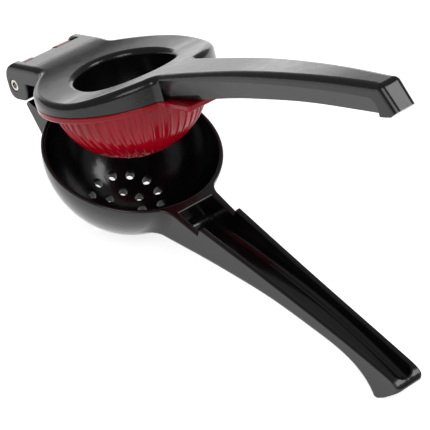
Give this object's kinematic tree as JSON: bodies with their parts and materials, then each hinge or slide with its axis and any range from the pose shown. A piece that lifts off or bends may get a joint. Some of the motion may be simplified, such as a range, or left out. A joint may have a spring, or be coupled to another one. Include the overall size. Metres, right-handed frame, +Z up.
{
  "type": "citrus press",
  "caption": "Hand citrus press: bowl with a long channelled handle, ribbed press cup and ringed upper arm with a dome, all on one hinge pin.",
  "frame": {"origin": "on the table, directly under the centre of the bowl's rim; inside the flat foot under the bowl", "axes": "+X towards the handle tips, +Y along the hinge pin, +Z up"},
  "size_m": [0.2413, 0.082, 0.1489],
  "materials": {
    "black_enamel": "gloss",
    "red_enamel": "gloss",
    "pin_steel": "satin"
  },
  "bodies": {
    "lower_arm": {"lower_arm": "black_enamel"},
    "press_cup": {"press_cup": "red_enamel"},
    "upper_arm": {"upper_arm": "black_enamel", "hinge_barrel": "pin_steel", "hinge_screw": "pin_steel"}
  },
  "joints": [
    {"name": "cup_hinge", "type": "hinge", "parent": "lower_arm", "child": "press_cup", "pos_m": [-0.05873, 0, 0.05422], "axis": [0, -1, 0], "range_deg": [-30, 60]},
    {"name": "arm_hinge", "type": "hinge", "parent": "press_cup", "child": "upper_arm", "pos_m": [-0.05873, 0, 0.05422], "axis": [0, -1, 0], "range_deg": [0, 45]}
  ]
}
